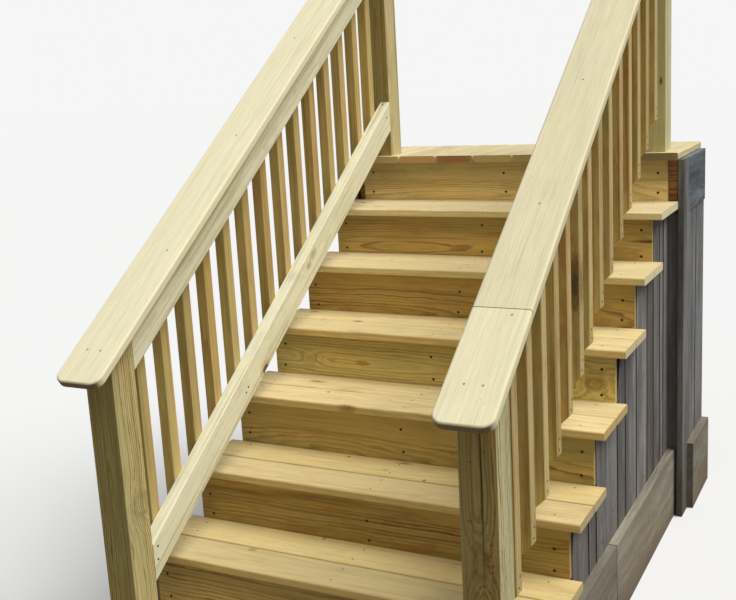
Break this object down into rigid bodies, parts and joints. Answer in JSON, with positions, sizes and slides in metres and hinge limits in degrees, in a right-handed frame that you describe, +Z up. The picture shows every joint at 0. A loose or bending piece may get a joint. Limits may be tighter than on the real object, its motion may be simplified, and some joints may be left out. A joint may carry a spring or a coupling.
{
  "type": "wooden deck stairs",
  "caption": "Wooden deck stairs: a closed flight of board treads between two sloping guards with flat caps and square balusters, with the edge of the deck it meets.",
  "frame": {"origin": "middle of the footprint, at ground level", "axes": "+Z up, +Y up the flight towards the deck, X along the treads with +X on the right of a person going up"},
  "size_m": [1.286, 2.1512, 2.205],
  "materials": {
    "tread_wood": "new pressure-treated pine, golden",
    "riser_wood": "new pressure-treated pine, grained",
    "guard_wood": "new pressure-treated pine, planed",
    "landing_wood": "new pressure-treated pine",
    "frame_wood": "older stained timber",
    "siding_wood": "old weathered boards",
    "trim_wood": "old weathered boards"
  },
  "bodies": {
    "root": {"tread_1": "tread_wood", "tread_2": "tread_wood", "tread_3": "tread_wood", "tread_4": "tread_wood", "tread_5": "tread_wood", "tread_6": "tread_wood", "tread_7": "tread_wood", "riser_1": "riser_wood", "riser_2": "riser_wood", "riser_3": "riser_wood", "riser_4": "riser_wood", "riser_5": "riser_wood", "riser_6": "riser_wood", "riser_7": "riser_wood", "riser_8": "riser_wood", "stringer_left": "frame_wood", "stringer_middle": "frame_wood", "stringer_right": "frame_wood", "siding_left": "siding_wood", "skirt_left": "trim_wood", "newel_left": "guard_wood", "upper_post_left": "guard_wood", "top_rail_left": "guard_wood", "bottom_rail_left": "guard_wood", "balusters_left": "guard_wood", "siding_right": "siding_wood", "skirt_right": "trim_wood", "newel_right": "guard_wood", "upper_post_right": "guard_wood", "top_rail_right": "guard_wood", "bottom_rail_right": "guard_wood", "balusters_right": "guard_wood", "cap_left": "guard_wood", "cap_right_lower": "guard_wood", "cap_right_upper": "guard_wood", "rim_joist": "frame_wood", "back_joist": "frame_wood", "side_joists": "frame_wood", "stringer_ledger": "frame_wood", "landing_posts": "frame_wood", "corner_trims": "trim_wood", "fascia_boards": "trim_wood", "landing_siding": "siding_wood", "landing_skirts": "trim_wood", "landing_boards": "landing_wood"}
  },
  "joints": []
}
